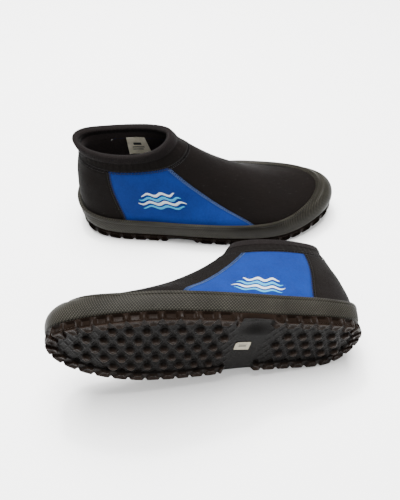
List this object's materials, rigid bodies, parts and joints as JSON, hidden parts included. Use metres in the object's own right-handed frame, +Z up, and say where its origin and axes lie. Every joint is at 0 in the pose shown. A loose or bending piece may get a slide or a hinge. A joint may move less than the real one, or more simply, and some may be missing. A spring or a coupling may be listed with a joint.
{
  "type": "neoprene water boots",
  "caption": "Pair of low slip-on neoprene water boots with studded rubber soles, one standing and one lying on its side.",
  "frame": {"origin": "centre of the pair's bounding box, on the floor that both boots rest on", "axes": "+Z up; +X from the heel to the toe of the standing left boot; the lying right boot is on the -Y side with its toe towards -X"},
  "size_m": [0.2464, 0.2456, 0.1107],
  "materials": {
    "black_neoprene": "black knit-faced neoprene, matt with a soft sheen",
    "blue_neoprene": "royal blue knit-faced neoprene",
    "outsole_rubber": "black-brown moulded rubber",
    "rand_rubber": "dark grey rubber with a fine knurled texture",
    "lasting_board": "felted fibre board",
    "insole_foam": "black cloth over foam",
    "knit_binding": "black knitted binding tape",
    "blue_thread": "blue overlock stitching",
    "black_thread": "black overlock stitching",
    "emblem_print": "screen print, white and pale blue",
    "woven_label": "cream woven label",
    "paper_sticker": "cream paper sticker"
  },
  "bodies": {
    "left_boot": {"left_outsole_rear": "outsole_rubber", "left_rand_rear": "rand_rubber", "left_lasting_board_rear": "lasting_board", "left_insole_rear": "insole_foam", "left_vamp_instep": "black_neoprene", "left_vamp_crease": "black_neoprene", "left_side_panel_medial": "blue_neoprene", "left_side_panel_lateral": "blue_neoprene", "left_heel_panel": "black_neoprene", "left_collar_band": "black_neoprene", "left_collar_binding": "knit_binding", "left_front_seam_medial": "blue_thread", "left_front_seam_lateral": "blue_thread", "left_heel_seam_medial": "black_thread", "left_heel_seam_lateral": "black_thread", "left_collar_seam": "black_thread", "left_emblem_medial": "emblem_print", "left_emblem_lateral": "emblem_print", "left_size_label": "woven_label", "left_sole_sticker": "paper_sticker"},
    "left_forefoot": {"left_outsole_toe": "outsole_rubber", "left_rand_toe": "rand_rubber", "left_lasting_board_toe": "lasting_board", "left_insole_toe": "insole_foam", "left_vamp_toe": "black_neoprene"},
    "right_boot": {"right_outsole_rear": "outsole_rubber", "right_rand_rear": "rand_rubber", "right_lasting_board_rear": "lasting_board", "right_insole_rear": "insole_foam", "right_vamp_instep": "black_neoprene", "right_vamp_crease": "black_neoprene", "right_side_panel_medial": "blue_neoprene", "right_side_panel_lateral": "blue_neoprene", "right_heel_panel": "black_neoprene", "right_collar_band": "black_neoprene", "right_collar_binding": "knit_binding", "right_front_seam_medial": "blue_thread", "right_front_seam_lateral": "blue_thread", "right_heel_seam_medial": "black_thread", "right_heel_seam_lateral": "black_thread", "right_collar_seam": "black_thread", "right_emblem_medial": "emblem_print", "right_emblem_lateral": "emblem_print", "right_size_label": "woven_label", "right_sole_sticker": "paper_sticker"},
    "right_forefoot": {"right_outsole_toe": "outsole_rubber", "right_rand_toe": "rand_rubber", "right_lasting_board_toe": "lasting_board", "right_insole_toe": "insole_foam", "right_vamp_toe": "black_neoprene"}
  },
  "joints": [
    {"name": "left_forefoot_flex", "type": "hinge", "parent": "left_boot", "child": "left_forefoot", "pos_m": [0.05209, 0.07789, 0.01075], "axis": [0.0471, -0.9989, 0], "range_deg": [0, 30], "stiffness_Nm_per_rad": 0.3, "deforming": ["left_vamp_crease"]},
    {"name": "right_boot_lift", "type": "slide", "parent": "left_boot", "child": "right_boot", "axis": [0, 0, 1], "range_m": [0, 0.12]},
    {"name": "right_forefoot_flex", "type": "hinge", "parent": "right_boot", "child": "right_forefoot", "pos_m": [-0.04463, -0.10823, 0.06516], "axis": [-0.1936, -0.0303, -0.9806], "range_deg": [0, 30], "stiffness_Nm_per_rad": 0.3, "deforming": ["right_vamp_crease"]}
  ]
}
